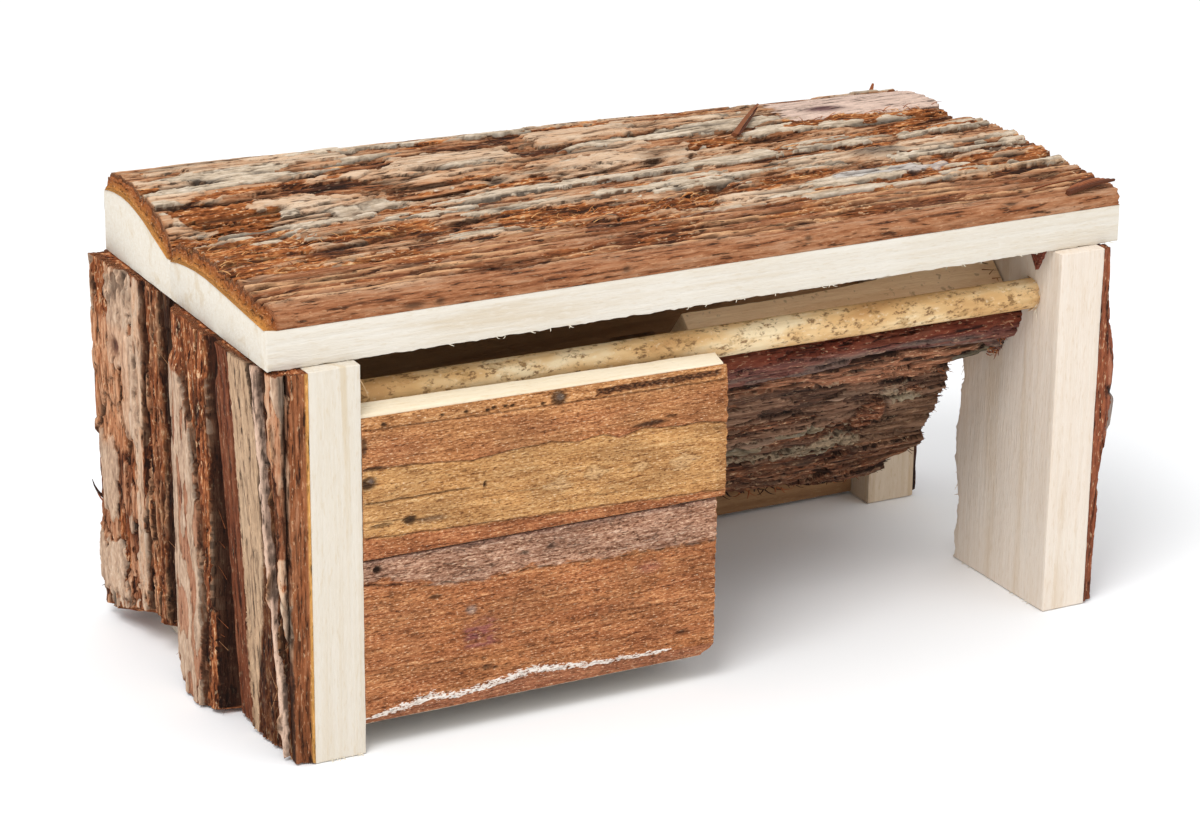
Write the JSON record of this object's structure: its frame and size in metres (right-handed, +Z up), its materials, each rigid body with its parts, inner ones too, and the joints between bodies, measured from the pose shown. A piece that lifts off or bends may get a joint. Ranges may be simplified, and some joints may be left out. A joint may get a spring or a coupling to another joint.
{
  "type": "wooden hamster house",
  "caption": "Low wooden house for a hamster, nailed from bark-covered slabs, with a front panel, a round rail, a sloped inner slab and open doorways at the front and side.",
  "frame": {"origin": "on the floor, under the middle of the house's bounding box", "axes": "+X to the right along the front, +Y to the back, +Z up; the front with the panel and rail faces -Y"},
  "size_m": [0.2856, 0.1378, 0.1442],
  "materials": {
    "sawn_wood": "sawn softwood, pale cream, matte",
    "bark": "natural bark, brown with grey flakes and orange fibres, rough",
    "inner_bark": "smooth fibrous inner bark, reddish to golden brown",
    "rail_wood": "peeled round wood, yellow tan with brown specks",
    "nail_steel": "plain bright wire nails"
  },
  "bodies": {
    "root": {"roof_front_slab": "sawn_wood", "roof_back_slab": "sawn_wood", "left_front_board": "sawn_wood", "left_back_board": "sawn_wood", "right_front_board": "sawn_wood", "right_back_board": "sawn_wood", "back_lower_slab": "sawn_wood", "back_upper_slab": "sawn_wood", "panel_upper_board": "sawn_wood", "panel_lower_board": "sawn_wood", "slope_slab": "sawn_wood", "centre_post": "sawn_wood", "left_batten": "sawn_wood", "right_batten": "sawn_wood", "roof_front_bark": "bark", "roof_back_bark": "bark", "left_front_bark": "bark", "left_back_bark": "bark", "right_front_bark": "bark", "right_back_bark": "bark", "back_lower_bark": "bark", "back_upper_bark": "bark", "slope_bark": "bark", "bark_chip": "bark", "panel_upper_skin": "inner_bark", "panel_lower_skin": "inner_bark", "front_rail": "rail_wood", "roof_nails": "nail_steel", "back_wall_nails": "nail_steel", "panel_nails": "nail_steel", "slope_nails": "nail_steel", "batten_nails": "nail_steel"}
  },
  "joints": []
}
